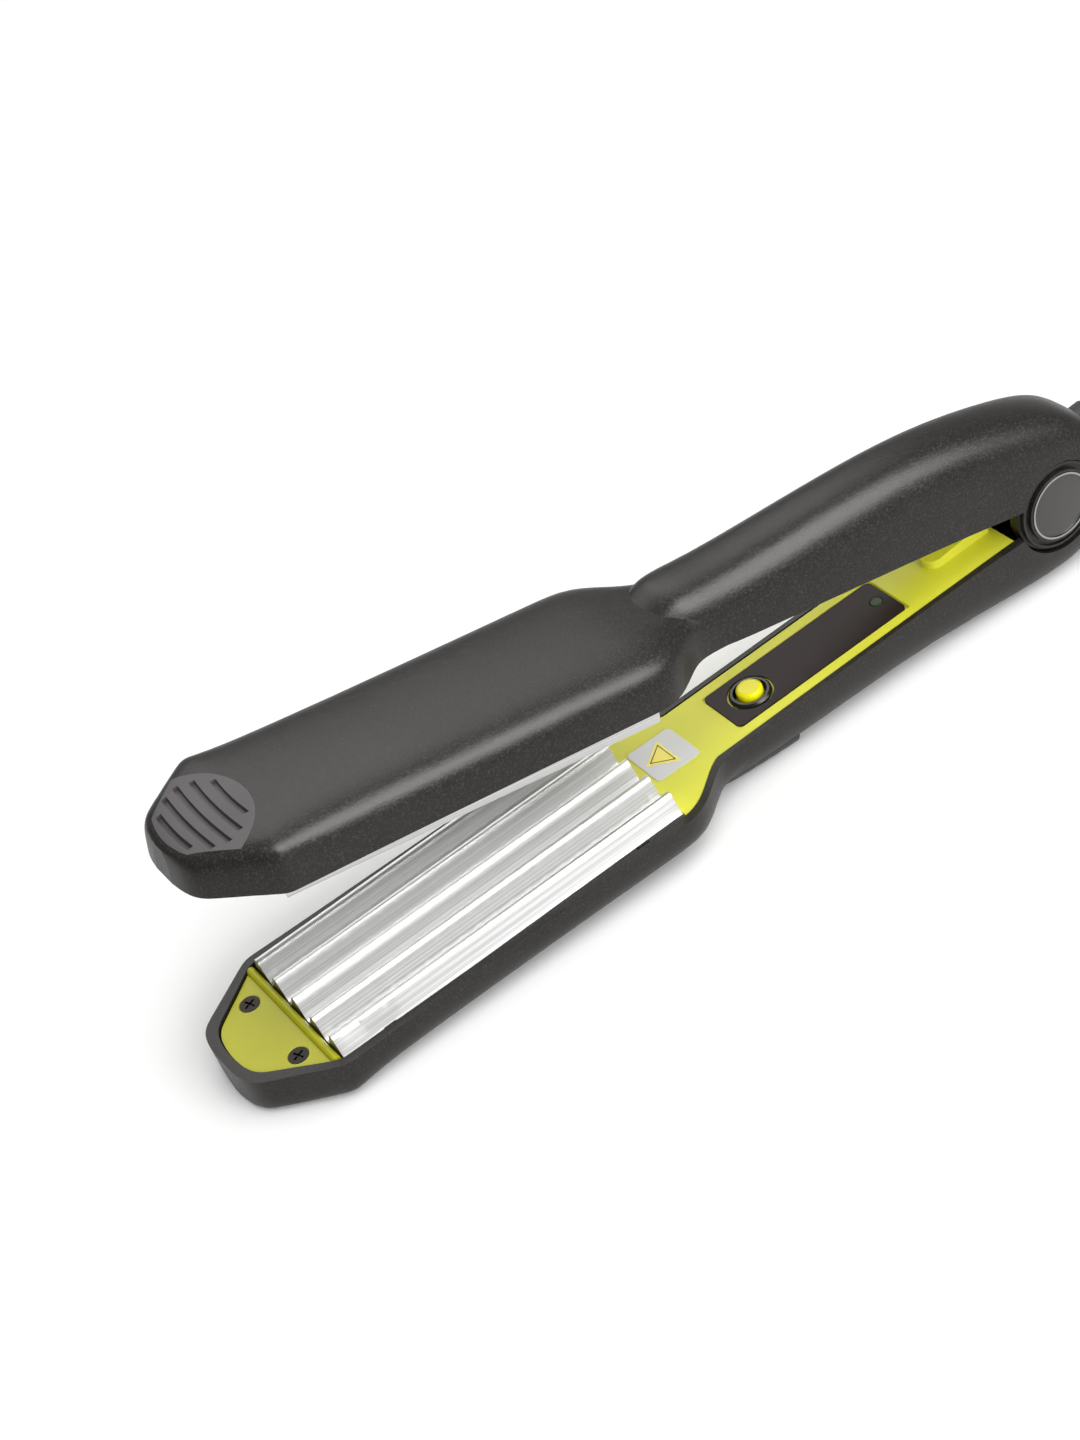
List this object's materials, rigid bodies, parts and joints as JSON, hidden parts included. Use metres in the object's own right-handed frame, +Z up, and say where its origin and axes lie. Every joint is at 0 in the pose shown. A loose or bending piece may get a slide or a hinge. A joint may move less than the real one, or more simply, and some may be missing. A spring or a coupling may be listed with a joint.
{
  "type": "hair crimper",
  "caption": "Hand-held hair crimper: two hinged arms with meshing corrugated heated plates, a lime-lined handle with a push button, and a mains cord.",
  "frame": {"origin": "centre of the object's box, at the height of the surface it lies on, without the free cord and its strain relief", "axes": "+X from the plate end towards the hinge and cord, +Z up, +Y to the far side as seen from the control panel's reading side"},
  "size_m": [0.5115, 0.0572, 0.076],
  "materials": {
    "soft_touch_shell": "fine-grained soft-touch paint",
    "lime_plastic": "satin moulded",
    "plate_aluminium": "brushed lengthwise",
    "black_plastic": "matte",
    "panel_gloss": "glossy",
    "yellow_button": "semi-gloss",
    "lens": "clear, tinted dark",
    "silver_label": "satin film",
    "board": "lacquered",
    "cord_rubber": "matte",
    "plug_plastic": "matte",
    "dark_steel": "blackened",
    "steel": "plain",
    "ceramic": "unglazed",
    "bright_ring": "polished",
    "nickel": "plated",
    "grip_pad": "matte, grooved"
  },
  "bodies": {
    "lower_arm": {"lower_shell": "soft_touch_shell", "lower_liner": "lime_plastic", "control_panel": "panel_gloss", "button_bezel": "black_plastic", "led_lens": "lens", "led": "lens", "caution_label": "silver_label", "control_board": "board", "tact_switch": "black_plastic", "thermal_fuse": "black_plastic", "internal_leads": "cord_rubber", "strain_relief": "cord_rubber", "cord_clamp": "black_plastic", "clamp_screws": "dark_steel", "hinge_pin": "steel", "hinge_spring": "steel", "hinge_washers": "steel", "lower_crimp_plate": "plate_aluminium", "lower_plate_carrier": "black_plastic", "lower_heater": "ceramic", "lower_insulator": "ceramic", "lower_heater_clip": "steel", "lower_thermistor": "steel", "lower_end_plate": "lime_plastic", "lower_end_screws": "dark_steel", "lower_liner_screw": "dark_steel", "lower_tip_pad": "grip_pad", "cord": "cord_rubber", "cord_hank": "cord_rubber", "plug_body": "plug_plastic", "plug_pins": "nickel"},
    "upper_arm": {"upper_shell": "soft_touch_shell", "upper_liner": "lime_plastic", "upper_crimp_plate": "plate_aluminium", "upper_plate_carrier": "black_plastic", "upper_heater": "ceramic", "upper_insulator": "ceramic", "upper_heater_clip": "steel", "upper_thermistor": "steel", "upper_end_plate": "lime_plastic", "upper_end_screws": "dark_steel", "upper_liner_screw": "dark_steel", "upper_tip_pad": "grip_pad", "hinge_cap_near": "soft_touch_shell", "hinge_cap_ring_near": "bright_ring", "hinge_cap_disc_near": "soft_touch_shell", "hinge_cap_far": "soft_touch_shell", "hinge_cap_ring_far": "bright_ring", "hinge_cap_disc_far": "soft_touch_shell"},
    "power_button": {"power_button": "yellow_button"}
  },
  "joints": [
    {"name": "arm_hinge", "type": "hinge", "parent": "lower_arm", "child": "upper_arm", "pos_m": [0.1113, 0, 0.0223], "axis": [0, 1, 0], "range_deg": [-12.5, 0], "stiffness_Nm_per_rad": 0.7, "springref_deg": 20.05, "deforming": ["hinge_spring"]},
    {"name": "button_press", "type": "slide", "parent": "lower_arm", "child": "power_button", "axis": [0.0393, 0, -0.9992], "range_m": [0, 0.0008], "stiffness_N_per_m": 1500, "springref_m": -0.0003}
  ]
}
